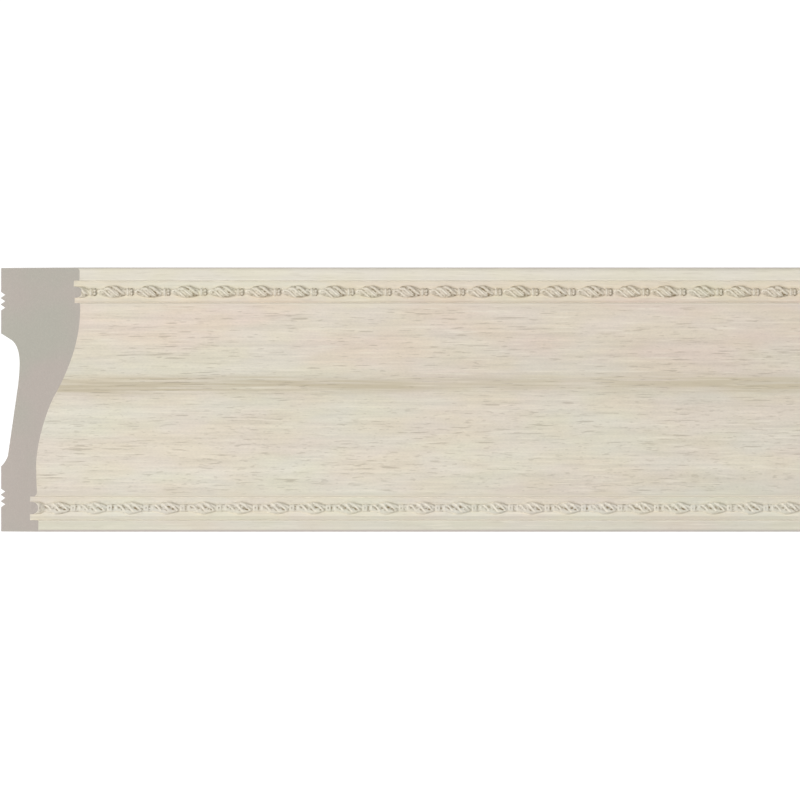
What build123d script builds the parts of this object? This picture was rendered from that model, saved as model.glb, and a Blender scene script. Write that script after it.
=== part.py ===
import os
from math import cos, radians, sin

from build123d import *

# Ceiling coving: one extruded length of moulding, lying on its back with the decorated face up.
# X runs along the length, +Y is the edge that meets the ceiling, and z = 0 is the flat back that
# goes against the wall. The origin is the middle of the underside.
# The section is written in two distances: t, measured across the face from the ceiling edge, and
# d, measured out from the back.

# Overall
LENGTH = 2000.0  # along the back, from the point of the mitre to the square end
WIDTH = 95.0  # ceiling edge to lower edge
MITRE_ANGLE = 45.0  # slope of the cut at the -X end, as for an inside corner

# Upper fascia, along the ceiling edge
UPPER_FASCIA_D = 28.7
UPPER_FASCIA_T = 4.7
UPPER_FASCIA_ROUND = 1.4

# Upper astragal, between two narrow fillets
UPPER_FILLET_A_D = 26.6
UPPER_ASTRAGAL_T0 = 6.95
UPPER_ASTRAGAL_T1 = 11.05
UPPER_ASTRAGAL_D = 29.95
UPPER_FILLET_B_D = 26.9
UPPER_FILLET_B_T1 = 13.15

# Ogee: round nose, convex upper half, hollow lower half
NOSE_START_D = 28.0
NOSE_MID = (13.65, 28.62)
OGEE_TOP = (14.7, 28.93)
OGEE_TOP_REACH = 11.16
OGEE_MIDDLE = (45.98, 19.57)
OGEE_MIDDLE_IN = (36.51, 25.03)
OGEE_MIDDLE_OUT = (50.68, 16.86)
OGEE_FOOT = (71.3, 12.83)
OGEE_FOOT_REACH = 8.2
TORUS = (80.3, 13.15)
TORUS_MID = (75.8, 12.92)
TORUS_ROUND_MID = (81.7, 12.86)
TORUS_END = (82.4, 12.2)

# Lower astragal, between two narrow fillets
LOWER_FILLET_D = 10.6
LOWER_ASTRAGAL_T0 = 84.0
LOWER_ASTRAGAL_T1 = 88.9
LOWER_ASTRAGAL_D = 13.85
LOWER_FILLET_T1 = 90.9

# Lower fascia, along the lower edge
LOWER_FASCIA_D = 13.65
LOWER_FASCIA_ROUND = 0.9

# Hollow along the back
HOLLOW_T0 = 23.6
HOLLOW_SHOULDER = (25.9, 3.71)
HOLLOW_SHOULDER_PULL = (27.4, 5.9)
HOLLOW_CROWN = (34.2, 6.78)
HOLLOW_CROWN_REACH = 3.5
HOLLOW_SLOPE_START = (44.3, 5.92)
HOLLOW_SLOPE_PULL = (41.0, 6.4)
HOLLOW_SLOPE_END = (67.65, 2.5)
HOLLOW_LIP_MID = (69.9, 1.38)
HOLLOW_T1 = 71.5

# Adhesive grooves: three small V grooves on each side of the hollow
GROOVE_COUNT = 3
GROOVE_MOUTH = 2.0
GROOVE_LAND = 0.3
GROOVE_DEPTH = 1.5
UPPER_GROOVES_T0 = 8.7
LOWER_GROOVES_T0 = 79.6


def at(t, d):
    """A point of the section: t across the face from the ceiling edge, d out from the back."""
    return (WIDTH / 2 - t, d)


def groove_points(t0):
    """The zigzag of one set of grooves, from the ceiling side to the lower side."""
    points = []
    for i in range(GROOVE_COUNT):
        start = t0 + i * (GROOVE_MOUTH + GROOVE_LAND)
        points += [
            at(start, 0),
            at(start + GROOVE_MOUTH / 2, GROOVE_DEPTH),
            at(start + GROOVE_MOUTH, 0),
        ]
    return points


with BuildPart() as coving:
    with BuildSketch(Plane.YZ.offset(-LENGTH / 2)) as section:
        with BuildLine() as outline:
            # Ceiling edge and upper fascia, with its rounded arris
            Line(at(0, 0), at(0, UPPER_FASCIA_D - UPPER_FASCIA_ROUND))
            CenterArc(
                at(UPPER_FASCIA_ROUND, UPPER_FASCIA_D - UPPER_FASCIA_ROUND),
                UPPER_FASCIA_ROUND,
                0,
                90,
            )
            Polyline(
                at(UPPER_FASCIA_ROUND, UPPER_FASCIA_D),
                at(UPPER_FASCIA_T, UPPER_FASCIA_D),
                at(UPPER_FASCIA_T, UPPER_FILLET_A_D),
                at(UPPER_ASTRAGAL_T0, UPPER_FILLET_A_D),
            )
            # Upper astragal
            EllipticalCenterArc(
                at((UPPER_ASTRAGAL_T0 + UPPER_ASTRAGAL_T1) / 2, UPPER_FILLET_A_D),
                (UPPER_ASTRAGAL_T1 - UPPER_ASTRAGAL_T0) / 2,
                UPPER_ASTRAGAL_D - UPPER_FILLET_A_D,
                0,
                arc_size=180,
            )
            Polyline(
                at(UPPER_ASTRAGAL_T1, UPPER_FILLET_A_D),
                at(UPPER_ASTRAGAL_T1, UPPER_FILLET_B_D),
                at(UPPER_FILLET_B_T1, UPPER_FILLET_B_D),
                at(UPPER_FILLET_B_T1, NOSE_START_D),
            )
            # Ogee
            ThreePointArc(at(UPPER_FILLET_B_T1, NOSE_START_D), at(*NOSE_MID), at(*OGEE_TOP))
            Bezier(
                at(*OGEE_TOP),
                at(OGEE_TOP[0] + OGEE_TOP_REACH, OGEE_TOP[1]),
                at(*OGEE_MIDDLE_IN),
                at(*OGEE_MIDDLE),
            )
            Bezier(
                at(*OGEE_MIDDLE),
                at(*OGEE_MIDDLE_OUT),
                at(OGEE_FOOT[0] - OGEE_FOOT_REACH, OGEE_FOOT[1]),
                at(*OGEE_FOOT),
            )
            ThreePointArc(at(*OGEE_FOOT), at(*TORUS_MID), at(*TORUS))
            ThreePointArc(at(*TORUS), at(*TORUS_ROUND_MID), at(*TORUS_END))
            Polyline(
                at(*TORUS_END),
                at(TORUS_END[0], LOWER_FILLET_D),
                at(LOWER_ASTRAGAL_T0, LOWER_FILLET_D),
            )
            # Lower astragal
            EllipticalCenterArc(
                at((LOWER_ASTRAGAL_T0 + LOWER_ASTRAGAL_T1) / 2, LOWER_FILLET_D),
                (LOWER_ASTRAGAL_T1 - LOWER_ASTRAGAL_T0) / 2,
                LOWER_ASTRAGAL_D - LOWER_FILLET_D,
                0,
                arc_size=180,
            )
            # Lower fascia and lower edge
            Polyline(
                at(LOWER_ASTRAGAL_T1, LOWER_FILLET_D),
                at(LOWER_FILLET_T1, LOWER_FILLET_D),
                at(LOWER_FILLET_T1, LOWER_FASCIA_D),
                at(WIDTH - LOWER_FASCIA_ROUND, LOWER_FASCIA_D),
            )
            CenterArc(
                at(WIDTH - LOWER_FASCIA_ROUND, LOWER_FASCIA_D - LOWER_FASCIA_ROUND),
                LOWER_FASCIA_ROUND,
                90,
                90,
            )
            Line(at(WIDTH, LOWER_FASCIA_D - LOWER_FASCIA_ROUND), at(WIDTH, 0))
            # Back: lower lands and grooves
            Polyline(
                at(WIDTH, 0),
                *reversed(groove_points(LOWER_GROOVES_T0)),
                at(HOLLOW_T1, 0),
            )
            # Back: the hollow
            ThreePointArc(at(HOLLOW_T1, 0), at(*HOLLOW_LIP_MID), at(*HOLLOW_SLOPE_END))
            Line(at(*HOLLOW_SLOPE_END), at(*HOLLOW_SLOPE_START))
            Bezier(
                at(*HOLLOW_SLOPE_START),
                at(*HOLLOW_SLOPE_PULL),
                at(HOLLOW_CROWN[0] + HOLLOW_CROWN_REACH, HOLLOW_CROWN[1]),
                at(*HOLLOW_CROWN),
            )
            Bezier(
                at(*HOLLOW_CROWN),
                at(HOLLOW_CROWN[0] - HOLLOW_CROWN_REACH, HOLLOW_CROWN[1]),
                at(*HOLLOW_SHOULDER_PULL),
                at(*HOLLOW_SHOULDER),
            )
            Line(at(*HOLLOW_SHOULDER), at(HOLLOW_T0, 0))
            # Back: upper lands and grooves
            Polyline(
                at(HOLLOW_T0, 0),
                *reversed(groove_points(UPPER_GROOVES_T0)),
                at(0, 0),
            )
        make_face()
    extrude(amount=LENGTH)
    # Mitre at the -X end: the cut leans back from the wall side to the face
    mitre = Plane(
        origin=(-LENGTH / 2, 0, 0),
        z_dir=(cos(radians(MITRE_ANGLE)), 0, -sin(radians(MITRE_ANGLE))),
    )
    split(bisect_by=mitre, keep=Keep.TOP)

coving.part.label = "coving"

os.makedirs("parts", exist_ok=True)
export_step(coving.part, "parts/coving.step")
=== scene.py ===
"""Ceiling coving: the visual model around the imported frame.

One moulded length, lying on its back. The body carries the section, and the two astragals carry their
carved rows: a twisted olive, a collar and a bead in the upper row, and a twisted olive with a spool in
the lower row. Everything is in metres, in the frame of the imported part.
"""
import math

import bmesh
import bpy
import numpy as np
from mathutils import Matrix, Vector
from mathutils.geometry import delaunay_2d_cdt


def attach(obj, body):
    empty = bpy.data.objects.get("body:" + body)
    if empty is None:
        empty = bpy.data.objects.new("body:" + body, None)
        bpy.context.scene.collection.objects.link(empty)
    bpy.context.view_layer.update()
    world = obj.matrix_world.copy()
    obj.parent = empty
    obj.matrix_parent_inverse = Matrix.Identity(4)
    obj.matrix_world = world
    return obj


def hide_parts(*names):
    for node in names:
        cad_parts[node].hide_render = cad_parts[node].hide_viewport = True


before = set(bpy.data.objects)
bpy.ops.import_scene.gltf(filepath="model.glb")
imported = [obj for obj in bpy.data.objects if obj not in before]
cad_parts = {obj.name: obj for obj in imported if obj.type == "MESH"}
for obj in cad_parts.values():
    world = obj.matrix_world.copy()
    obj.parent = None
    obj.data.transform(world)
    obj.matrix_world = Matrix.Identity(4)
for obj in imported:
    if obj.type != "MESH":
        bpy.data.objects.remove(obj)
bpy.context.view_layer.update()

MM = 0.001
LENGTH = 2000.0
WIDTH = 95.0
LEFT = -LENGTH / 2
RIGHT = LENGTH / 2

# ---------------------------------------------------------------------------------------------
# Camera: straight above the mitred end, so that the cut shows the section in its true shape
# ---------------------------------------------------------------------------------------------
PIXEL = 0.36  # mm of the coving to one pixel of the 800 x 800 frame
LENS = 1000.0
cam_data = bpy.data.cameras.new("camera")
cam_data.sensor_width = 36.0
cam_data.lens = LENS
cam_data.clip_start, cam_data.clip_end = 0.1, 200.0
camera = bpy.data.objects.new("camera", cam_data)
bpy.context.scene.collection.objects.link(camera)
FRAME_MM = 800 * PIXEL
camera.location = (
    (LEFT + (400 - 0.5) * PIXEL) * MM,
    -0.10 * MM,
    FRAME_MM * MM * LENS / 36.0 + 0.012,
)
camera.rotation_euler = (0, 0, 0)
bpy.context.scene.camera = camera

# ---------------------------------------------------------------------------------------------
# Small helpers for materials
# ---------------------------------------------------------------------------------------------


def linear(r, g, b):
    """A colour given in 0-255 steps, as linear light."""
    out = []
    for c in (r, g, b):
        c /= 255.0
        out.append(c / 12.92 if c <= 0.04045 else ((c + 0.055) / 1.055) ** 2.4)
    return (*out, 1.0)


class Nodes:
    """A material's node tree, with short calls for the nodes used here."""

    def __init__(self, name):
        self.material = bpy.data.materials.new(name)
        self.material.use_nodes = True
        self.tree = self.material.node_tree
        self.tree.nodes.clear()
        self.out = self.tree.nodes.new("ShaderNodeOutputMaterial")

    def new(self, kind, **settings):
        node = self.tree.nodes.new(kind)
        for key, value in settings.items():
            setattr(node, key, value)
        return node

    def put(self, socket, value):
        if isinstance(value, bpy.types.NodeSocket):
            self.tree.links.new(value, socket)
        else:
            socket.default_value = value

    def math(self, operation, a, b=None, c=None, clamp=False):
        node = self.new("ShaderNodeMath", operation=operation, use_clamp=clamp)
        for i, value in enumerate((a, b, c)):
            if value is not None:
                self.put(node.inputs[i], value)
        return node.outputs[0]

    def ramp(self, value, low, high, out_low=0.0, out_high=1.0, smooth=True):
        node = self.new(
            "ShaderNodeMapRange",
            interpolation_type="SMOOTHSTEP" if smooth else "LINEAR",
            clamp=True,
        )
        for i, v in enumerate((value, low, high, out_low, out_high)):
            self.put(node.inputs[i], v)
        return node.outputs[0]

    def mix(self, factor, a, b, blend="MIX"):
        node = self.new("ShaderNodeMix", data_type="RGBA", blend_type=blend)
        self.put(node.inputs["Factor"], factor)
        self.put(node.inputs[6], a)
        self.put(node.inputs[7], b)
        return node.outputs[2]

    def place(self, vector, scale, offset=(0, 0, 0), turn=0.0):
        node = self.new("ShaderNodeMapping", vector_type="POINT")
        self.put(node.inputs["Vector"], vector)
        node.inputs["Location"].default_value = offset
        node.inputs["Rotation"].default_value = (0, 0, turn)
        node.inputs["Scale"].default_value = scale
        return node.outputs[0]

    def noise(self, vector, detail=2.0, roughness=0.5, distortion=0.0):
        node = self.new("ShaderNodeTexNoise", noise_dimensions="3D")
        self.put(node.inputs["Vector"], vector)
        node.inputs["Scale"].default_value = 1.0
        node.inputs["Detail"].default_value = detail
        node.inputs["Roughness"].default_value = roughness
        node.inputs["Distortion"].default_value = distortion
        return node.outputs[0]


def per_mm(x, y, z=None):
    """Mapping scale that makes one noise step x, y and z millimetres long."""
    return (1000.0 / x, 1000.0 / y, 1000.0 / (z or y))


def wood_material():
    """Pale bleached woodgrain: cream ground, long faint streaks, short dark pores, one brown vein."""
    n = Nodes("pale_woodgrain")
    place = n.new("ShaderNodeTexCoord").outputs["Object"]
    axes = n.new("ShaderNodeSeparateXYZ")
    n.put(axes.inputs[0], place)
    x, y = axes.outputs[0], axes.outputs[1]
    t = n.math("MULTIPLY_ADD", y, -1000.0, WIDTH / 2)  # mm from the ceiling edge

    # Ground: pinker on the swell of the ogee, greener below it, paler on the upper fascia
    patch = n.noise(n.place(place, per_mm(44, 15), (3.1, 7.7, 1.3)), 2.0)
    swell = n.math("MULTIPLY", n.ramp(t, 9.5, 13.5), n.ramp(t, 20, 46, 1.0, 0.0))
    drift = n.math("COSINE", n.math("MULTIPLY_ADD", x, 2 * math.pi / 0.66, 2 * math.pi * 0.985 / 0.66))
    pink = n.math("MULTIPLY", swell, n.math("MULTIPLY_ADD", drift, -0.17, 0.62))
    pink = n.math("ADD", pink, n.ramp(patch, 0.36, 0.64, -0.20, 0.42))
    pink = n.math("MULTIPLY_ADD", drift, -0.04, pink)
    pink = n.math("SUBTRACT", pink, n.ramp(t, 82, 84, 0.0, 0.03))
    pink = n.math("SUBTRACT", pink, n.ramp(t, 7.5, 9.5, 0.09, 0.0))
    pink = n.ramp(pink, -0.3, 1.0, smooth=False)
    ground = n.mix(pink, linear(220.5, 216.75, 200), linear(222.7, 207, 191.2))
    ground = n.mix(n.ramp(t, 4.4, 5.6, 0.85, 0.0), ground, linear(226, 220, 204))
    # Brightness: a slow swing along the length, brightest at the mitre end, weakest on the upper fascia and strongest
    # on the upper arris and the foot of the ogee; the lower fascia a little darker
    foot = n.math("MULTIPLY", n.ramp(t, 72, 78), n.ramp(t, 81.5, 82.5, 1.0, 0.0))
    swing_amount = n.math("MULTIPLY_ADD", swell, 0.010, n.ramp(t, 5.5, 8.5, 0.016, 0.040))
    swing_amount = n.math("ADD", swing_amount, n.ramp(t, 0.7, 1.6, 0.06, 0.0))
    swing_amount = n.math("MULTIPLY_ADD", foot, 0.03, swing_amount)
    brightness = n.math("MULTIPLY_ADD", n.math("SUBTRACT", drift, 1.0), swing_amount, 1.004)
    slope = n.math("MULTIPLY", n.ramp(t, 43, 47), n.ramp(t, 52, 60, 1.0, 0.0))  # painted highlight on the steep middle of the ogee, evening out its shading
    brightness = n.math("MULTIPLY_ADD", slope, 0.025, brightness)
    brightness = n.math("MULTIPLY_ADD", foot, -0.004, brightness)
    brightness = n.math("SUBTRACT", brightness, n.ramp(t, 90.9, 91.2, 0.0, 0.062))
    ground = n.mix(1.0, ground, brightness, "MULTIPLY")
    warm = n.noise(n.place(place, per_mm(19, 8), (7.3, 0.4, 5.5)), 1.5)
    tint = n.mix(n.ramp(warm, 0.34, 0.66), (1.0, 1.0, 0.972, 1.0), (1.0, 1.0, 1.024, 1.0))
    ground = n.mix(1.0, ground, tint, "MULTIPLY")
    bed = n.math("MULTIPLY", n.ramp(t, 82.2, 82.8), n.ramp(t, 90.3, 90.9, 1.0, 0.0))
    ground = n.mix(bed, ground, (0.988, 1.008, 1.04, 1.0), "MULTIPLY")

    # Streaks along the grain, from long and broad to short and fine
    long_streak = n.noise(n.place(place, per_mm(110, 1.7), (0.4, 2.2, 5.1)), 1.0, 0.5)
    streak = n.noise(n.place(place, per_mm(30, 1.05), (8.4, 1.7, 0.6)), 1.0, 0.5)
    short_streak = n.noise(n.place(place, per_mm(7.5, 0.95), (4.4, 9.3, 3.6)), 0.5, 0.5)
    speckle = n.noise(n.place(place, per_mm(0.9, 0.45), (6.4, 2.3, 8.6)), 0.0)
    tone = n.math("MULTIPLY", n.math("SUBTRACT", long_streak, 0.5), 0.17)
    tone = n.math("MULTIPLY_ADD", n.math("SUBTRACT", streak, 0.5), 0.19, tone)
    tone = n.math("MULTIPLY_ADD", n.math("SUBTRACT", short_streak, 0.5), 0.10, tone)
    tone = n.math("MULTIPLY_ADD", n.math("SUBTRACT", speckle, 0.5), 0.10, tone)
    ogee = n.math("MULTIPLY", n.ramp(t, 12.5, 16), n.ramp(t, 79, 83, 1.0, 0.0))  # the fascias are quieter
    tone = n.math("MULTIPLY_ADD", tone, n.ramp(ogee, 0, 1, 0.45, 1.0), 1.0)
    ground = n.mix(1.0, ground, tone, "MULTIPLY")

    # The brown vein along the middle of the ogee, soft on both sides and wandering a little
    wander = n.noise(n.place(place, per_mm(70, 400), (1.9, 0.3, 0.2)), 1.0)
    off = n.math("MULTIPLY_ADD", wander, 3.2, n.math("SUBTRACT", t, 42.2 + 1.6))
    off = n.math("MULTIPLY_ADD", streak, 3.0, n.math("SUBTRACT", off, 1.5))
    above = n.ramp(off, -5.2, -0.2)
    under = n.ramp(off, 0.0, 4.0, 1.0, 0.0)
    vein = n.math("MULTIPLY", above, under)
    weight = n.noise(n.place(place, per_mm(48, 400), (6.1, 2.3, 0.2)), 1.0)
    vein = n.math("MULTIPLY", vein, n.ramp(weight, 0.32, 0.68, 0.58, 1.08))
    strip = n.noise(n.place(place, per_mm(34, 0.9), (2.7, 6.1, 3.3)), 1.0, 0.5)
    vein = n.math("MULTIPLY", vein, n.ramp(strip, 0.30, 0.66, 0.36, 1.26), clamp=True)
    ground = n.mix(n.math("MULTIPLY", vein, 0.94), ground, linear(200, 189, 165))

    # Pores: short dark dashes lying along the grain, thicker in patches
    crowd = n.noise(n.place(place, per_mm(34, 7), (5.0, 4.0, 2.0)), 1.5)
    shift = n.math("MULTIPLY_ADD", crowd, 0.26, -0.13)
    below = n.ramp(t, 44, 54)
    long_pores = n.noise(n.place(place, per_mm(8.6, 0.52), (0, 0, 0), 0.012), 0.5, 0.45)
    long_mask = n.ramp(n.math("ADD", long_pores, shift), 0.69, 0.765)
    short_pores = n.noise(n.place(place, per_mm(4.2, 0.46), (13.0, 5.0, 9.0), -0.03), 0.5, 0.45)
    short_mask = n.ramp(n.math("ADD", short_pores, n.math("MULTIPLY", shift, 0.8)), 0.685, 0.76)
    flecks = n.noise(n.place(place, per_mm(2.6, 0.7), (2.0, 15.0, 4.0), 0.5), 0.5, 0.4)
    fleck_mask = n.math("MULTIPLY", n.ramp(flecks, 0.67, 0.76), below)
    pores = n.math("MAXIMUM", n.math("MULTIPLY", long_mask, 0.9), n.math("MULTIPLY", short_mask, 0.7))
    pores = n.math("MAXIMUM", pores, n.math("MULTIPLY", fleck_mask, 0.5))
    pores = n.math("MULTIPLY", pores, n.ramp(ogee, 0, 1, 0.3, 1.0))
    colour = n.mix(n.math("MULTIPLY", pores, n.ramp(below, 0, 1, 0.42, 0.41)), ground, linear(150, 139, 122))

    # Pale flecks between the pores
    pale = n.noise(n.place(place, per_mm(12, 0.7), (21.0, 3.0, 7.0)), 0.6, 0.45)
    colour = n.mix(n.math("MULTIPLY", n.ramp(pale, 0.60, 0.76, 0.0, 0.34), n.ramp(vein, 0, 1, 1.0, 0.6)), colour, linear(237, 230, 214))

    # Painted shade in the recesses of the carving and on the floors beside the walls, and painted highlight on the
    # crests of the strands and on the arrises
    painted_shading_amount = n.new("ShaderNodeAttribute", attribute_type="GEOMETRY", attribute_name="painted_shading").outputs["Fac"]
    upper_row = n.math("MULTIPLY", n.ramp(t, 6.2, 6.6), n.ramp(t, 11.1, 11.5, 1.0, 0.0))
    lower_row = n.math("MULTIPLY", n.ramp(t, 83.7, 84.1), n.ramp(t, 88.8, 89.2, 1.0, 0.0))
    shading_jitter = n.noise(n.place(place, per_mm(1.0, 0.75), (3.0, 8.0, 1.0)), 1.0, 0.5)  # random unevenness in the painted shade and highlight of the carved rows
    shading_jitter = n.math("MULTIPLY", n.math("SUBTRACT", shading_jitter, 0.5), n.math("ADD", upper_row, lower_row))
    painted_shading_amount = n.math("MULTIPLY", painted_shading_amount, n.math("MULTIPLY_ADD", shading_jitter, 5.0, 1.0))
    colour = n.mix(upper_row, colour, (1.004, 0.992, 0.965, 1.0), "MULTIPLY")
    shadow = n.mix(n.ramp(painted_shading_amount, 0.1, 0.4), linear(126, 114, 92), linear(126, 109, 77))
    colour = n.mix(n.math("MAXIMUM", painted_shading_amount, 0.0), colour, shadow)
    colour = n.mix(n.math("MAXIMUM", n.math("MULTIPLY", painted_shading_amount, -1.0), 0.0), colour, linear(244, 237, 221))

    height = n.math("MULTIPLY_ADD", pores, -0.75, n.math("MULTIPLY", streak, 0.6))
    bump = n.new("ShaderNodeBump")
    bump.inputs["Strength"].default_value = 0.5
    bump.inputs["Distance"].default_value = 0.00014
    n.put(bump.inputs["Height"], height)

    shader = n.new("ShaderNodeBsdfPrincipled")
    n.put(shader.inputs["Base Color"], colour)
    n.put(shader.inputs["Roughness"], n.ramp(pores, 0.0, 1.0, 0.56, 0.78, False))
    shader.inputs["Specular IOR Level"].default_value = 0.25
    n.put(shader.inputs["Normal"], bump.outputs[0])
    n.put(n.out.inputs["Surface"], shader.outputs[0])
    return n.material


def foam_material(name, cut):
    """Warm-grey foamed plastic: sawn cells on a cut end, drawn lines on the moulded back and edges."""
    n = Nodes(name)
    place = n.new("ShaderNodeTexCoord").outputs["Object"]
    tint = n.noise(n.place(place, per_mm(60, 28), (4.0, 1.0, 2.0)), 2.0)
    colour = n.mix(n.ramp(tint, 0.30, 0.58), linear(183, 180, 169), linear(188, 179, 171))
    if cut:
        cells = n.new("ShaderNodeTexVoronoi", voronoi_dimensions="3D", feature="F1")
        n.put(cells.inputs["Vector"], n.place(place, per_mm(0.7, 0.7)))
        cells.inputs["Scale"].default_value = 1.0
        relief = n.ramp(cells.outputs["Distance"], 0.1, 0.7)
        speck = n.noise(n.place(place, per_mm(0.9, 0.9)), 2.0)
        shade = n.math("MULTIPLY_ADD", relief, -0.045, n.math("MULTIPLY_ADD", speck, 0.08, 0.958))
    else:
        relief = n.noise(n.place(place, per_mm(240, 0.8), (1.0, 6.0, 3.0)), 3.0, 0.6)
        speck = n.noise(n.place(place, per_mm(1.6, 1.1), (2.0, 2.0, 2.0)), 2.0)
        shade = n.math("MULTIPLY_ADD", relief, 0.12, n.math("MULTIPLY_ADD", speck, 0.07, 1.03))
    colour = n.mix(1.0, colour, shade, "MULTIPLY")
    bump = n.new("ShaderNodeBump")
    bump.inputs["Strength"].default_value = 0.35
    bump.inputs["Distance"].default_value = 0.00012
    n.put(bump.inputs["Height"], n.math("ADD", relief, n.math("MULTIPLY", speck, 0.5)))
    shader = n.new("ShaderNodeBsdfPrincipled")
    n.put(shader.inputs["Base Color"], colour)
    n.put(shader.inputs["Roughness"], n.ramp(speck, 0.3, 0.7, 0.78, 0.92, False))
    shader.inputs["Specular IOR Level"].default_value = 0.2
    n.put(shader.inputs["Normal"], bump.outputs[0])
    n.put(n.out.inputs["Surface"], shader.outputs[0])
    return n.material


WOOD = wood_material()
FOAM_CUT = foam_material("foam_sawn", True)
FOAM_SKIN = foam_material("foam_skin", False)
MATERIALS = [WOOD, FOAM_CUT, FOAM_SKIN]
WOOD_I, CUT_I, SKIN_I = range(3)

# ---------------------------------------------------------------------------------------------
# Section, in millimetres: t across the face from the ceiling edge, d out from the back
# ---------------------------------------------------------------------------------------------
UPPER_FLOOR_A, UPPER_FLOOR_B = 26.6, 26.9
LOWER_FLOOR = 10.6


def bezier(p0, p1, p2, p3, count):
    u = np.linspace(0, 1, count + 1)[:, None]
    p0, p1, p2, p3 = map(np.array, (p0, p1, p2, p3))
    return (1 - u) ** 3 * p0 + 3 * u * (1 - u) ** 2 * p1 + 3 * u * u * (1 - u) * p2 + u**3 * p3


def arc3(a, m, b, count):
    """Circular arc from a to b through m."""
    (ax, ay), (mx, my), (bx, by) = a, m, b
    k = 2 * (ax * (my - by) + mx * (by - ay) + bx * (ay - my))
    cx = ((ax * ax + ay * ay) * (my - by) + (mx * mx + my * my) * (by - ay) + (bx * bx + by * by) * (ay - my)) / k
    cy = ((ax * ax + ay * ay) * (bx - mx) + (mx * mx + my * my) * (ax - bx) + (bx * bx + by * by) * (mx - ax)) / k
    r = math.hypot(ax - cx, ay - cy)
    a0, am, a1 = (math.atan2(q[1] - cy, q[0] - cx) for q in (a, m, b))
    turn = (a1 - a0) % (2 * math.pi)
    if (am - a0) % (2 * math.pi) > turn:
        turn -= 2 * math.pi
    w = a0 + np.linspace(0, 1, count + 1) * turn
    return np.c_[cx + r * np.cos(w), cy + r * np.sin(w)]


def outline():
    """The section's closed line as (t, d, material, corner size) rows; each row starts a segment."""
    rows = []

    def add(points, material, corner=0.0):
        for p in points:
            rows.append([p[0], p[1], material, corner])

    def quarter(cx, cy, r, a0, a1, count):
        w = np.radians(np.linspace(a0, a1, count + 1))
        return np.c_[cx + r * np.cos(w), cy + r * np.sin(w)]

    def flat(d, places):
        return [(t, d) for t in places]

    # Ceiling edge, bare up to the middle of its rounded arris
    add([(0, 0)], SKIN_I, 0.25)
    top = quarter(1.4, 27.3, 1.4, 180, 90, 10)
    add(top[:4], SKIN_I)
    add(top[4:], WOOD_I)
    # Fascia, fillets and the bed of the upper astragal
    add([(4.25, 28.7)], WOOD_I)
    add([(4.7, 28.7)], WOOD_I, 0.16)
    add([(4.7, UPPER_FLOOR_A)], WOOD_I, 0.22)
    add(flat(UPPER_FLOOR_A, (5.4, 5.8, 6.2, 6.7, 7.6, 8.7)), WOOD_I)
    add(flat(UPPER_FLOOR_B, (9.7, 11.3, 11.85, 12.0, 12.3)), WOOD_I)
    add([(12.7, UPPER_FLOOR_B)], WOOD_I, 0.28)
    add(arc3((12.7, 28.4), (12.86, 28.71), (13.5, 28.89), 6), WOOD_I)
    add([(14.7, 28.93)], WOOD_I)
    # Ogee
    add(bezier((14.7, 28.93), (25.86, 28.93), (36.51, 25.03), (45.98, 19.57), 30)[1:], WOOD_I)
    add(bezier((45.98, 19.57), (50.68, 16.86), (63.1, 12.83), (71.3, 12.83), 24)[1:], WOOD_I)
    add(arc3((71.3, 12.83), (75.8, 12.92), (80.3, 13.15), 8)[1:], WOOD_I)
    add(arc3((80.3, 13.15), (81.7, 12.86), (82.4, 12.2), 6)[1:], WOOD_I)
    # Bed of the lower astragal, and the lower fascia
    add([(82.4, LOWER_FLOOR)], WOOD_I, 0.28)
    add(flat(LOWER_FLOOR, (83.0, 83.4, 83.9, 84.5, 85.4, 88.9, 89.35, 89.55, 90.2)), WOOD_I)
    add([(90.9, LOWER_FLOOR)], WOOD_I, 0.28)
    add([(90.9, 13.65)], WOOD_I, 0.16)
    add([(91.4, 13.65), (92.9, 13.65), (93.6, 13.65)], WOOD_I)
    foot = quarter(94.1, 12.75, 0.9, 90, 0, 8)
    add(foot[:1], WOOD_I)
    add(foot[1:], SKIN_I)
    # Lower edge and back
    add([(95, 0)], SKIN_I, 0.25)

    def grooves(t0):
        points = []
        for i in range(3):
            a = t0 + 2.3 * i
            points += [(a, 0), (a + 1.0, 1.5), (a + 2.0, 0)]
        return points[::-1]

    add(grooves(79.6), SKIN_I, 0.08)
    add(arc3((71.5, 0), (69.9, 1.38), (67.65, 2.5), 8), SKIN_I)
    add(bezier((44.3, 5.92), (41.0, 6.4), (37.7, 6.78), (34.2, 6.78), 10), SKIN_I)
    add(bezier((34.2, 6.78), (30.7, 6.78), (27.4, 5.9), (25.9, 3.71), 12)[1:], SKIN_I)
    add([(23.6, 0)], SKIN_I, 0.15)
    add(grooves(8.7), SKIN_I, 0.08)
    return rows


def softened(rows):
    """Each marked corner becomes a small round with a short flat on both sides, to keep shading crisp."""
    out, count = [], len(rows)
    for i, (t, d, material, corner) in enumerate(rows):
        if not corner:
            out.append((t, d, material))
            continue
        here = np.array((t, d))
        back = np.array(rows[i - 1][:2]) - here
        ahead = np.array(rows[(i + 1) % count][:2]) - here
        lb, la = np.linalg.norm(back), np.linalg.norm(ahead)
        r = min(corner, 0.3 * lb, 0.3 * la)
        back, ahead = back / lb, ahead / la
        before = rows[i - 1][2]
        out.append((*(here + back * r * 1.5), before))
        for k, u in enumerate((0.0, 0.3, 0.7, 1.0)):
            p = (1 - u) ** 2 * (here + back * r) + 2 * u * (1 - u) * here + u * u * (here + ahead * r)
            out.append((*p, before if k < 2 else material))
        out.append((*(here + ahead * r * 1.5), material))
    return out
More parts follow.
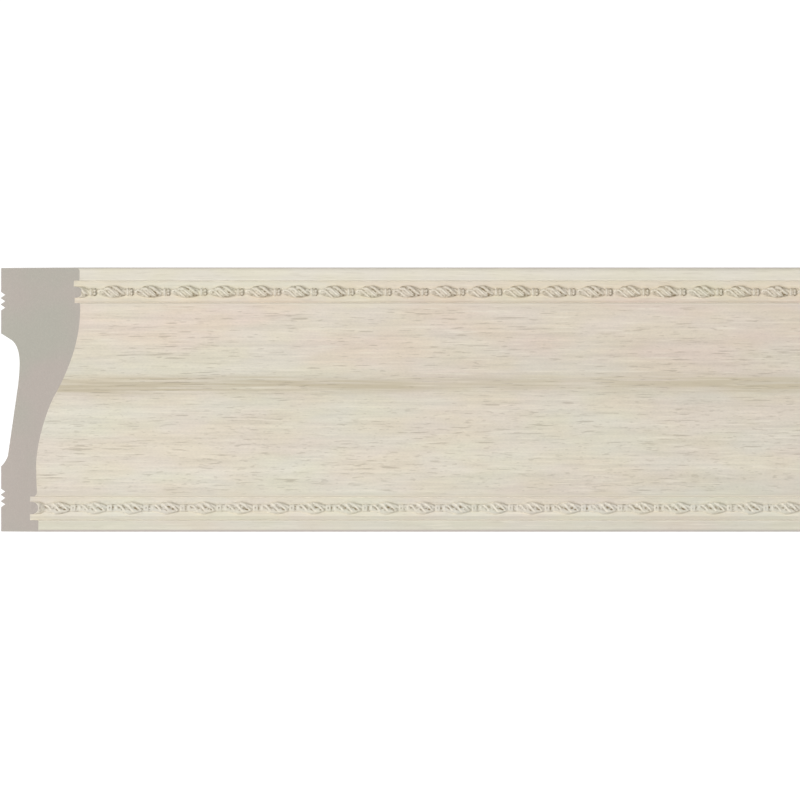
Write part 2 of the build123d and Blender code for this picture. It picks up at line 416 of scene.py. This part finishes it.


# Painted shade on the floors beside the walls and the carved rows (above 0) and painted highlight on the arrises (below
# 0): (t, strength) rows
PAINTED_SHADE_AND_HIGHLIGHT = [
    ((1.4, 0.0), (4.25, 0.045), (4.46, -0.10), (4.69, -0.35), (4.76, 0.08), (5.05, 0.19), (5.4, 0.08), (5.8, 0.05), (6.2, 0.05), (6.7, 0.03), (8.7, 0.0)),
    ((8.8, 0.0), (11.3, 0.03), (11.85, 0.02), (12.0, 0.14), (12.3, 0.14), (12.5, -0.05), (12.7, -0.75), (12.9, -0.5), (13.5, 0.0)),
    ((81.3, 0.0), (81.9, -0.2), (82.1, -0.7), (82.4, -0.85), (82.55, 0.12), (83.0, 0.14), (83.4, 0.09), (83.9, 0.07), (84.5, 0.07), (85.4, 0.03), (86.0, 0.0)),
    ((86.2, 0.0), (88.9, -0.04), (89.35, -0.03), (89.55, 0.14), (90.2, 0.12), (90.5, -0.05), (90.75, -0.4), (90.9, -0.8), (91.14, -0.3), (91.4, 0.0)),
    ((92.9, 0.0), (93.6, -0.18), (94.1, 0.0)),
]


def finish_mesh(bm, name, sharp):
    bmesh.ops.recalc_face_normals(bm, faces=bm.faces)
    mesh = bpy.data.meshes.new(name)
    bm.to_mesh(mesh)
    bm.free()
    for material in MATERIALS:
        mesh.materials.append(material)
    mesh.set_sharp_from_angle(angle=math.radians(sharp))
    piece = bpy.data.objects.new(name, mesh)
    bpy.context.scene.collection.objects.link(piece)
    return piece


def make_body():
    line = softened(outline())
    td = np.array([(p[0], p[1]) for p in line])
    which = [p[2] for p in line]
    count = len(td)
    step = np.linalg.norm(np.roll(td, -1, 0) - td, axis=1)
    along = np.r_[0, np.cumsum(step)]
    around = along[-1]
    y, z = WIDTH / 2 - td[:, 0], td[:, 1]
    stations = np.r_[np.arange(LEFT + 40, RIGHT, 20.0), RIGHT]

    bm = bmesh.new()
    uv = bm.loops.layers.uv.new("OFBake")
    painted_shading = bm.verts.layers.float.new("painted_shading")
    # painted shade and highlight at each point of the section, on the face only
    shade = np.zeros(count)
    for table in PAINTED_SHADE_AND_HIGHLIGHT:
        places, strength = np.array(table).T
        shade += np.interp(td[:, 0], places, strength) * (td[:, 1] > 8)
    rings = []
    for s in range(len(stations) + 1):
        xs = LEFT + z if s == 0 else np.full(count, stations[s - 1])
        ring = []
        for i in range(count):
            v = bm.verts.new((xs[i] * MM, y[i] * MM, z[i] * MM))
            v[painted_shading] = shade[i]
            ring.append(v)
        rings.append(ring)

    def bake_u(x):
        return 0.004 + 0.95 * (x - LEFT) / LENGTH

    for a, b in zip(rings, rings[1:]):
        for i in range(count):
            j = (i + 1) % count
            face = bm.faces.new((a[i], a[j], b[j], b[i]))
            face.material_index = which[i]
            face.smooth = True
            v0, v1 = along[i] / around, along[i + 1] / around
            for loop, v in zip(face.loops, (v0, v1, v1, v0)):
                loop[uv].uv = (bake_u(loop.vert.co.x / MM), 0.002 + 0.996 * v)
    # Cut ends: the section as triangles, the same ones at both ends
    corners = [Vector((t, d)) for t, d in td]
    _, _, triangles, source, _, _ = delaunay_2d_cdt(corners, [], [list(range(count))], 1, 1e-6)
    for ring, u0 in ((rings[0], 0.962), (rings[-1], 0.982)):
        for triangle in triangles:
            face = bm.faces.new([ring[source[k][0]] for k in triangle])
            face.material_index = CUT_I
            face.smooth = False
            for loop in face.loops:
                loop[uv].uv = (
                    u0 + 0.015 * loop.vert.co.z / 0.03,
                    0.02 + 0.96 * (loop.vert.co.y / MM / WIDTH + 0.5),
                )
    return finish_mesh(bm, "coving_body", 40)


# ---------------------------------------------------------------------------------------------
# Carved rows. Each motif is drawn in (u, v), in millimetres: u along the row, v towards the ceiling edge. The body of
# the motif is a crowned bar on upright sides, of changing width and height, and the strands and the grooves between
# them are drawn on it as lines, which carve it and carry painted highlight on the strands and painted shade in the
# grooves.
# ---------------------------------------------------------------------------------------------


def smooth_curve(points, at):
    """Cubic through (place, value) points without overshoot, flat past both ends."""
    px, py = np.array(points, float).T
    rise = np.diff(py) / np.diff(px)
    slope = np.zeros(len(px))
    same = rise[1:] * rise[:-1] > 0
    slope[1:-1] = np.where(same, 2 * rise[1:] * rise[:-1] / np.where(same, rise[1:] + rise[:-1], 1), 0)
    at = np.clip(at, px[0], px[-1])
    i = np.clip(np.searchsorted(px, at, side="right") - 1, 0, len(px) - 2)
    h = px[i + 1] - px[i]
    u = (at - px[i]) / h
    return (
        (2 * u**3 - 3 * u**2 + 1) * py[i]
        + (u**3 - 2 * u**2 + u) * h * slope[i]
        + (-2 * u**3 + 3 * u**2) * py[i + 1]
        + (u**3 - u**2) * h * slope[i + 1]
    )


def dense(points, count=80):
    """A smooth line through the points, with its places from 0 to 1."""
    p = np.array(points, float)
    at = np.r_[0, np.cumsum(np.linalg.norm(np.diff(p, axis=0), axis=1))]
    s = np.linspace(0, at[-1], count)
    if len(p) == 2:
        return np.c_[np.interp(s, at, p[:, 0]), np.interp(s, at, p[:, 1])]
    return np.c_[smooth_curve(np.c_[at, p[:, 0]], s), smooth_curve(np.c_[at, p[:, 1]], s)]


def stroke(points, u, v, width, ends=(1.0, 1.0)):
    """How strongly a line is felt at each (u, v): 1 on it, fading over width, and from end to end."""
    p = dense(points)
    far = np.hypot(u[..., None] - p[:, 0], v[..., None] - p[:, 1])
    k = far.argmin(-1)
    near = far.min(-1)
    strength = ends[0] + (ends[1] - ends[0]) * k / (len(p) - 1)
    return strength * np.exp(-((near / width) ** 2))


UPPER = dict(
    name="upper_astragal",
    centre=8.85,
    floor=26.7,
    pitch=36.777 * PIXEL,
    first=(95.1 - 0.53 + 0.5) * PIXEL,  # u = 0 of the first whole motif, from the point of the mitre
    # at the mitre the bar is whole up to the first place and carved from the second on; half-width, height
    places=[(0, 4), (0.7, 3), (1.3, 29), (10.9, 2), (11.35, 4), (12.05, 2), (12.45, 4)],
    bar=(29.5, 31.3, 2.05, 2.75),
    lean=(1.0, 3.4, 8.6, 11.15),
    slant=1.17,
    top=[(0, 1.4), (0.45, 1.05), (0.66, 0.8), (0.95, 0.82), (1.25, 0.9), (1.7, 1.1), (2.5, 1.22), (3.4, 1.55),
         (4.0, 2.0), (4.6, 2.16), (5.5, 2.24), (6.5, 2.38), (7.5, 2.38), (8.5, 2.05), (9.5, 1.62), (10.4, 1.3), (11.0, 1.05),
         (11.22, 0.8), (11.36, 1.3), (11.5, 1.5), (11.9, 1.5), (12.05, 1.35), (12.22, 1.1), (12.45, 1.1),
         (12.7, 1.3), (13.1, 1.45), (13.24, 1.4)],
    foot=[(0, -1.36), (0.45, -1.05), (0.66, -0.8), (0.95, -0.75), (1.25, -0.7), (1.7, -0.95), (2.5, -1.3),
          (3.5, -1.6), (4.5, -1.85), (5.5, -2.08), (6.1, -2.15), (6.7, -2.08), (7.5, -2.0), (8.5, -1.9), (9.5, -1.72),
          (10.4, -1.42), (11.0, -1.1), (11.22, -0.8), (11.36, -1.2), (11.5, -1.38), (11.9, -1.38), (12.05, -1.25),
          (12.22, -1.05), (12.45, -1.05), (12.7, -1.25), (13.1, -1.4), (13.24, -1.36)],
    rise=[(0, 1.2), (0.45, 1.0), (0.66, 0.75), (0.95, 0.55), (1.25, 0.55), (2.5, 0.8), (4.5, 1.05), (6.5, 1.25),
          (8.5, 1.2), (9.5, 1.05), (10.4, 0.85), (11.0, 0.65), (11.22, 0.55), (11.36, 0.95), (11.5, 1.15), (11.9, 1.15),
          (12.05, 1.05), (12.22, 0.85), (12.45, 0.9), (12.7, 1.05), (13.1, 1.2), (13.24, 1.2)],
    sides=[(0, 0.8), (0.45, 0.65), (0.66, 0.5), (1.25, 0.35), (4.0, 0.3), (6.5, 0.5), (8.5, 0.65), (11.0, 0.65), (11.5, 0.7),
           (12.2, 0.6), (12.7, 0.8), (13.24, 0.8)],
    round=0.9,
    rim_highlight_top=[(0, 0.5), (1.0, 0.9), (3.2, 0.9), (4.0, 0.3), (5.5, 0.3), (6.5, 0.5), (9.0, 0.5), (11.0, 0.5), (11.4, 0.8), (12.2, 0.5), (13.24, 0.5)],
    rim_highlight_foot=[(0, 0.2), (1.0, 0.5), (5.7, 0.8), (7.0, 0.35), (11.0, 0.35), (11.4, 0.5), (12.2, 0.2), (13.24, 0.2)],
    # painted shade over the body of the olive, between its ends
    ground=0.25,
    # line, height, width, strength at both ends; each crest also carries painted highlight
    strands=[
        ([(1.43, 0.38), (1.95, 0.85), (2.7, 0.82), (3.65, 0.10), (4.75, -0.88), (5.75, -1.9)], 0.45, 0.31, (0.9, 0.9)),
        ([(3.6, 1.28), (4.5, 1.46), (5.25, 1.24), (6.1, 0.42), (7.0, -0.40), (7.95, -1.15)], 0.50, 0.32, (0.9, 1.0)),
        ([(6.5, 1.92), (7.4, 1.68), (8.4, 0.93), (9.35, 0.06), (10.4, -0.64)], 0.50, 0.32, (0.9, 1.0)),
        ([(7.2, 0.30), (7.75, -0.18), (8.3, -0.62)], 0.30, 0.24, (0.8, 1.0)),
        ([(4.9, 0.2), (5.4, -0.25), (6.05, -0.78)], 0.16, 0.26, (1.0, 1.0)),
        ([(10.2, 1.05), (11.0, 0.5)], 0.15, 0.30, (1.0, 1.0)),
        ([(13.1, 0.50), (13.2, 0.50)], 0.26, 0.36, (1.0, 1.0)),
        ([(13.1, -0.50), (13.2, -0.50)], 0.26, 0.36, (1.0, 1.0)),
        ([(-0.14, 0.50), (0.0, 0.50)], 0.26, 0.36, (1.0, 1.0)),
        ([(-0.14, -0.50), (0.0, -0.50)], 0.26, 0.36, (1.0, 1.0)),
    ],
    # line, how deep it is cut, width, painted shade, strength at both ends
    grooves=[
        ([(3.4, 0.88), (4.2, 0.42), (4.7, -0.25), (5.35, -0.95), (6.1, -1.38)], 0.25, 0.30, 0.52, (0.9, 1.0)),
        ([(5.5, 0.45), (6.1, -0.22), (6.7, -0.85)], 0.12, 0.22, 0.34, (0.8, 1.0)),
        ([(3.83, 1.88), (4.9, 2.02), (5.85, 1.86), (6.75, 1.30), (7.6, 0.62), (8.35, -0.06), (9.0, -0.9)], 0.30, 0.31, 0.58, (0.8, 1.25)),
        ([(6.8, 0.45), (7.4, -0.2), (7.9, -0.7)], 0.12, 0.22, 0.36, (1.0, 1.0)),
        ([(8.8, -1.08), (9.6, -1.14), (10.5, -1.12)], 0.25, 0.40, 0.72, (1.0, 0.8)),
        ([(6.3, 2.36), (7.3, 2.32), (8.15, 1.94), (8.85, 1.38), (9.5, 0.78), (10.1, 0.25), (10.8, -0.3)], 0.22, 0.30, 0.50, (1.0, 0.9)),
        ([(9.5, 1.38), (10.3, 1.1), (11.1, 0.75)], 0.05, 0.30, 0.34, (0.9, 0.9)),
        ([(2.0, -0.75), (3.0, -1.22), (4.2, -1.42), (5.1, -1.68)], 0.10, 0.28, 0.40, (0.7, 1.0)),
        ([(6.3, -1.42), (7.5, -1.68), (8.5, -1.55)], 0.10, 0.30, 0.50, (0.9, 1.1)),
        ([(1.95, 0.36), (3.0, -0.35)], 0.16, 0.24, 0.55, (1.0, 0.7)),
        ([(12.35, 1.1), (12.3, 0.0), (12.35, -1.2)], 0.0, 0.30, 0.26, (0.9, 1.1)),
        ([(0.45, 1.1), (0.5, 0.0), (0.45, -1.2)], 0.0, 0.30, 0.36, (0.9, 1.1)),
        ([(12.5, 1.25), (13.24, 1.3)], 0.0, 0.32, 0.52, (0.9, 1.1)),
        ([(0.0, 1.3), (0.4, 1.15)], 0.0, 0.32, 0.56, (1.0, 0.9)),
        ([(12.5, -1.2), (13.24, -1.3)], 0.0, 0.34, 0.62, (0.9, 1.1)),
        ([(0.0, -1.3), (0.4, -1.15)], 0.0, 0.34, 0.66, (1.0, 0.9)),
        ([(12.6, 0.0), (13.24, 0.0)], 0.14, 0.28, 0.52, (1.0, 1.0)),
        ([(0.0, 0.0), (0.35, 0.0)], 0.14, 0.28, 0.52, (1.0, 1.0)),
        ([(12.55, 0.75), (12.75, 0.7)], 0.05, 0.40, 0.36, (1.0, 0.8)),
        ([(12.55, -0.75), (12.75, -0.7)], 0.05, 0.40, 0.36, (1.0, 0.8)),
        ([(13.0, 0.0), (13.2, 0.0)], 0.0, 0.75, 0.26, (1.0, 1.0)),
        ([(-0.2, 0.0), (0.15, 0.0)], 0.0, 0.75, 0.26, (1.0, 1.0)),
    ],
    # painted highlight: line, strength, width, strength at both ends
    pale=[
        ([(11.62, 1.3), (11.68, -1.1)], 0.45, 0.32, (1.0, 1.0)),
        ([(1.3, -0.7), (2.4, -1.3), (4.2, -1.85), (6.0, -2.2)], 0.25, 0.25, (1.0, 1.0)),
        ([(1.0, 0.85), (2.2, 1.2), (3.3, 1.5)], 0.80, 0.32, (1.0, 0.7)),
    ],
)
LOWER = dict(
    name="lower_astragal",
    centre=86.45,
    floor=10.6,
    pitch=36.47 * PIXEL,
    first=(40.4 - 0.53 + 0.5) * PIXEL,
    places=[(0, 3), (0.5, 3), (1.1, 28), (10.3, 3), (10.75, 5), (11.8, 3), (12.4, 5)],
    bar=(13.8, 16.2, 2.3, 3.0),
    lean=(0.7, 3.2, 8.0, 10.6),
    slant=1.1,
    top=[(0, 1.38), (0.5, 1.38), (1.0, 1.42), (2.25, 1.5), (3.75, 1.85), (5.1, 2.07), (6.4, 2.26),
         (7.4, 2.12), (8.4, 1.85), (9.5, 1.45), (10.3, 1.2), (10.62, 1.1), (10.8, 1.25), (11.0, 1.4), (12.0, 1.42),
         (12.5, 1.4), (13.13, 1.38)],
    foot=[(0, -1.38), (0.5, -1.34), (1.5, -1.4), (3.0, -1.75), (4.5, -2.15), (5.7, -2.4), (6.6, -2.35),
          (7.5, -2.18), (9.0, -1.75), (10.3, -1.28), (10.62, -1.12), (10.8, -1.25), (11.0, -1.4), (12.0, -1.42),
          (12.5, -1.4), (13.13, -1.38)],
    rise=[(0, 0.45), (0.22, 0.5), (0.5, 0.6), (1.0, 0.65), (2.25, 0.68), (4.0, 0.78), (6.0, 1.0), (7.5, 1.05), (9.0, 0.9),
          (10.3, 0.7), (10.62, 0.62), (10.8, 0.7), (11.0, 0.75), (12.0, 0.75), (12.35, 0.7), (12.62, 0.5), (12.8, 0.42),
          (13.0, 0.42), (13.13, 0.45)],
    sides=[(0, 0.6), (1.0, 0.35), (4.0, 0.35), (6.0, 0.55), (8.0, 0.7), (10.3, 0.7), (10.62, 0.6), (11.0, 0.6), (12.4, 0.6),
           (13.13, 0.6)],
    round=1.0,
    rim_highlight_top=[(0, 0.5), (0.9, 0.8), (5.0, 0.8), (7.0, 0.5), (10.3, 0.5), (10.7, 0.7), (12.2, 0.7), (13.13, 0.5)],
    rim_highlight_foot=[(0, 0.4), (0.9, 0.7), (5.0, 0.6), (7.0, 0.45), (10.3, 0.5), (10.7, 0.6), (12.2, 0.6), (13.13, 0.4)],
    ground=0.0,
    strands=[
        ([(0.9, 0.7), (0.85, 0.0), (0.95, -0.7)], 0.15, 0.35, (1.0, 1.0)),
        ([(1.9, 1.05), (2.3, 0.80), (3.0, 0.0), (3.75, -0.95)], 0.38, 0.33, (1.0, 0.8)),
        ([(4.3, 1.40), (5.1, 1.16), (5.6, 0.4), (6.2, -0.4), (7.05, -1.32)], 0.42, 0.34, (1.0, 0.9)),
        ([(6.3, 1.72), (7.2, 1.40), (8.2, 0.75), (9.0, -0.2), (9.6, -0.95)], 0.40, 0.31, (1.0, 0.9)),
        ([(9.0, 1.0), (9.8, 0.62), (10.4, 0.15)], 0.2, 0.30, (1.0, 1.0)),
        ([(7.2, -0.95), (8.4, -1.3)], 0.15, 0.35, (1.0, 0.8)),
    ],
    grooves=[
        ([(1.35, 0.36), (2.1, 0.0), (2.85, -0.45)], 0.18, 0.28, 0.74, (0.9, 0.9)),
        ([(3.15, 0.98), (3.55, 0.5), (4.15, -0.1)], 0.18, 0.56, 0.48, (0.8, 1.0)),
        ([(4.4, 0.10), (5.1, -0.36), (5.8, -0.84)], 0.22, 0.28, 0.70, (0.8, 1.0)),
        ([(6.1, 0.92), (6.55, 0.45), (7.25, -0.15)], 0.2, 0.56, 0.50, (0.9, 1.0)),
        ([(7.3, 0.10), (8.1, -0.34), (8.85, -0.70)], 0.28, 0.32, 0.90, (0.8, 1.0)),
        ([(8.4, 0.80), (9.5, 0.10), (10.35, -0.40)], 0.2, 0.28, 0.80, (0.5, 0.75)),
        ([(6.0, 2.35), (7.2, 2.0), (8.5, 1.48), (9.6, 1.18), (10.5, 0.92)], 0.0, 0.34, 0.28, (0.7, 1.1)),
        ([(5.1, -2.35), (6.9, -1.98), (8.1, -1.68), (9.3, -1.36), (10.5, -0.98)], 0.0, 0.32, 0.22, (0.8, 1.1)),
        ([(12.82, 1.2), (12.82, -1.3)], 0.0, 0.26, 0.26, (1.0, 1.0)),
        ([(12.80, 0.30), (12.80, -0.35)], 0.1, 0.34, 0.66, (1.0, 1.0)),
        ([(-0.32, 1.2), (-0.32, -1.3)], 0.0, 0.26, 0.26, (1.0, 1.0)),
        ([(-0.34, 0.30), (-0.34, -0.35)], 0.1, 0.34, 0.66, (1.0, 1.0)),
        ([(12.3, 1.32), (13.13, 1.2)], 0.0, 0.26, 0.50, (0.7, 1.0)),
        ([(0.0, 1.2), (0.5, 1.1)], 0.0, 0.26, 0.48, (1.0, 0.6)),
        ([(12.2, -1.3), (13.13, -1.25)], 0.0, 0.26, 0.44, (0.7, 1.0)),
        ([(0.0, -1.25), (0.7, -1.15)], 0.0, 0.26, 0.46, (1.0, 0.6)),
        ([(11.5, -0.03), (11.62, -0.03)], 0.3, 0.34, 0.55, (1.0, 1.0)),
    ],
    # painted highlight: line, strength, width, strength at both ends
    pale=[
        ([(10.98, 1.2), (10.98, -1.2)], 0.45, 0.28, (1.0, 1.0)),
        ([(12.15, 0.8), (12.15, -0.8)], 0.30, 0.22, (1.0, 1.0)),
        ([(0.75, 0.9), (0.75, -0.8)], 0.40, 0.28, (1.0, 1.0)),
        ([(0.9, 1.45), (3.0, 1.7), (5.2, 2.1)], 0.60, 0.30, (1.0, 0.9)),
        ([(0.7, -1.2), (3.0, -1.75), (5.0, -2.25)], 0.60, 0.30, (1.0, 0.9)),
        ([(10.7, 1.3), (12.2, 1.4)], 0.50, 0.28, (1.0, 0.7)),
        ([(10.7, -1.3), (12.2, -1.4)], 0.50, 0.28, (1.0, 0.7)),
    ],
)
ANGLES = np.radians([-104, -86, -70, -54, -36, -18, 0, 18, 36, 54, 70, 86, 104])


def carving(row, u, v):
    """Height, and the painted shade (above 0) and painted highlight (below 0), that the drawn lines give at (u, v)."""
    carve = np.zeros_like(u)
    a, d = row["lean"][0] + 0.4, row["lean"][3] - 0.1
    shade = row["ground"] * np.clip((u - a) / 0.6, 0, 1) * np.clip((d - u) / 0.6, 0, 1)
    light = np.zeros_like(u)
    for points, tall, width, ends in row["strands"]:
        felt = stroke(points, u, v, width, ends)
        carve = np.maximum(carve, tall * felt)
        light = np.maximum(light, min(tall / 0.4, 1.0) * stroke(points, u, v, width * 0.8, ends))
    for points, deep, width, dark, ends in row["grooves"]:
        felt = stroke(points, u, v, width, ends)
        carve = carve - deep * felt
        shade = np.maximum(shade, dark * felt)
    for points, strength, width, ends in row["pale"]:
        light = np.maximum(light, strength * stroke(points, u, v, width, ends))
    return carve, np.where(shade > light, shade - 0.5 * light, shade - light)


def motif(row):
    """One repeat: columns x angles of (u, v, height over the floor) and their painted shade and highlight."""
    pitch = row["pitch"]
    starts = [p[0] for p in row["places"]] + [pitch]
    column = np.concatenate(
        [np.linspace(a, b, count, endpoint=False) for a, b, (_, count) in zip(starts, starts[1:], row["places"])]
    )
    base, angle = np.meshgrid(column, ANGLES, indexing="ij")
    side = np.clip(angle, -math.pi / 2, math.pi / 2)

    def half(u):
        return (smooth_curve(row["top"], u) - smooth_curve(row["foot"], u)) / 2

    a, b, c, d = row["lean"]
    lean = np.clip(np.minimum((base - a) / (b - a), (d - base) / (d - c)), 0, 1)
    u = base - row["slant"] * lean * half(base) * np.sin(side)
    v = (smooth_curve(row["top"], u) + smooth_curve(row["foot"], u)) / 2 + half(u) * np.sin(side)
    up = np.cos(side)
    height = smooth_curve(row["rise"], u) * up ** row["round"]
    carve, painted_shading = carving(row, u, v)
    # painted highlight along the flanks, lightening the dark outline their shading gives
    rim = np.clip((np.abs(np.sin(side)) - 0.9) / 0.09, 0, 1)
    painted_shading = painted_shading - rim * np.where(side > 0, smooth_curve(row["rim_highlight_top"], u), smooth_curve(row["rim_highlight_foot"], u))
    height = height + carve * up**0.5 + smooth_curve(row["sides"], u)
    height[:, 0] = height[:, -1] = -0.6
    return u, v, height, painted_shading


def make_row(row):
    # deep holds each vertex's painted shade and highlight
    u, y, z, deep = motif(row)
    pitch, first = row["pitch"], row["first"]
    whole, carved, wide, tall = row["bar"]
    low = math.floor((-8 - first) / pitch)
    high = math.ceil((LENGTH + 4 - first) / pitch)
    across = len(ANGLES)
    bm = bmesh.new()
    uv = bm.loops.layers.uv.new("OFBake")
    painted_shading = bm.verts.layers.float.new("painted_shading")
    columns = []
    side = np.clip(ANGLES, -math.pi / 2, math.pi / 2)[None, :]
    for k in range(low, high):
        px, py, pz, shade = first + k * pitch + u, y, z, deep
        if px.min() < carved:  # the plain bar at the mitre runs into the carving
            keep = np.clip((carved - px) / (carved - whole), 0, 1)
            keep = keep * keep * (3 - 2 * keep)
            py = y + keep * (wide * np.sin(side) - y)
            cut, shade = carving(row, u, py)
            # painted highlight on the flanks and the ramp of the plain bar, lightening the shading there
            shade = shade * (1 - 0.1 * keep) - keep * (0.1 + 0.8 * np.abs(np.sin(side)) ** 3 + 1.2 * (1 - keep))
            bar = tall * np.cos(side) ** 0.8 + 0.5 * cut * np.cos(side) ** 0.5
            pz = z + keep * (bar - z)
            pz[:, 0] = pz[:, -1] = -0.6
        for c in range(len(u)):
            ring = []
            for i in range(across):
                v = bm.verts.new(
                    (
                        (LEFT + px[c, i]) * MM,
                        (WIDTH / 2 - row["centre"] + py[c, i]) * MM,
                        (row["floor"] + pz[c, i]) * MM,
                    )
                )
                v[painted_shading] = shade[c, i]
                ring.append(v)
            columns.append(ring)
    lines = 8
    span = LENGTH / lines

    def bake_place(vert, line, v):
        return (
            0.01 + 0.98 * (vert.co.x / MM - LEFT - line * span + 4) / (span + 8),
            (line + 0.03 + 0.94 * v) / lines,
        )

    for a, b in zip(columns, columns[1:]):
        middle = (a[across // 2].co.x + b[across // 2].co.x) / 2 / MM - LEFT
        line = int(min(max(middle // span, 0), lines - 1))
        for i in range(across):
            j = (i + 1) % across
            face = bm.faces.new((a[i], a[j], b[j], b[i]))
            face.smooth = True
            v0 = i / across
            v1 = (i + 1) / across
            for loop, v in zip(face.loops, (v0, v1, v1, v0)):
                loop[uv].uv = bake_place(loop.vert, line, v)
    # Saw both ends a hair inside the body's own ends: the mitre, and the square end
    for place, normal in (
        (Vector((LEFT * MM, 0, 0)), Vector((-1, 0, 1)).normalized()),
        (Vector((RIGHT * MM, 0, 0)), Vector((1, 0, 0))),
    ):
        geometry = bm.verts[:] + bm.edges[:] + bm.faces[:]
        cut = bmesh.ops.bisect_plane(
            bm, geom=geometry, plane_co=place - normal * 1e-5, plane_no=normal, clear_outer=True, dist=1e-7
        )
        edges = [e for e in cut["geom_cut"] if isinstance(e, bmesh.types.BMEdge)]
        filled = bmesh.ops.edgeloop_fill(bm, edges=edges)
        for face in filled["faces"]:
            face.material_index = CUT_I
            face.smooth = False
            for loop in face.loops:
                loop[uv].uv = (
                    0.992 + 0.006 * (loop.vert.co.y / MM - WIDTH / 2 + row["centre"]) / 6,
                    0.004 + 0.006 * (loop.vert.co.z / MM - row["floor"] + 1) / 6,
                )
    return finish_mesh(bm, row["name"], 80)


body = make_body()
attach(body, "root")
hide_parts("coving")
for row in (UPPER, LOWER):
    piece = make_row(row)
    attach(piece, "root")

# ---------------------------------------------------------------------------------------------
# Floor and light
# ---------------------------------------------------------------------------------------------
floor_mesh = bpy.data.meshes.new("floor")
HALF = 60.0
floor_mesh.from_pydata(
    [(-HALF, -HALF, 0), (HALF, -HALF, 0), (HALF, HALF, 0), (-HALF, HALF, 0)], [], [(0, 1, 2, 3)]
)
floor = bpy.data.objects.new("floor", floor_mesh)
floor.location = (0, 0, -0.00005)
bpy.context.scene.collection.objects.link(floor)
paper = Nodes("floor_paper")
paper_shader = paper.new("ShaderNodeBsdfPrincipled")
paper_shader.inputs["Base Color"].default_value = (0.2, 0.2, 0.2, 1)
paper_shader.inputs["Roughness"].default_value = 1.0
paper_shader.inputs["Specular IOR Level"].default_value = 0.0
paper_shader.inputs["Emission Color"].default_value = (1, 1, 1, 1)
paper_shader.inputs["Emission Strength"].default_value = 0.9
paper.put(paper.out.inputs["Surface"], paper_shader.outputs[0])
floor_mesh.materials.append(paper.material)

AMBIENT = 0.30
world = bpy.data.worlds.new("world")
bpy.context.scene.world = world
world.use_nodes = True
sky = world.node_tree.nodes["Background"]
sky.inputs["Color"].default_value = (1, 1, 1, 1)
sky.inputs["Strength"].default_value = AMBIENT


def sun(name, towards, share, angle):
    """A sun that gives a level surface this share of full light."""
    towards = Vector(towards).normalized()
    data = bpy.data.lights.new(name, "SUN")
    data.angle = math.radians(angle)
    data.energy = share * math.pi / towards.z
    light = bpy.data.objects.new(name, data)
    light.rotation_mode = "QUATERNION"
    light.rotation_quaternion = towards.to_track_quat("Z", "Y")
    bpy.context.scene.collection.objects.link(light)


sun("overhead", (-0.05, 0.0, 1.0), 0.46, 14)
sun("key", (-0.60, -0.10, 1.0), 0.20, 14)
sun("low_side", (-0.15, -0.60, 1.0), 0.04, 12)

view_settings = bpy.context.scene.view_settings
view_settings.view_transform = "Standard"
view_settings.look = "None"
view_settings.exposure = 0.0
view_settings.gamma = 1.0
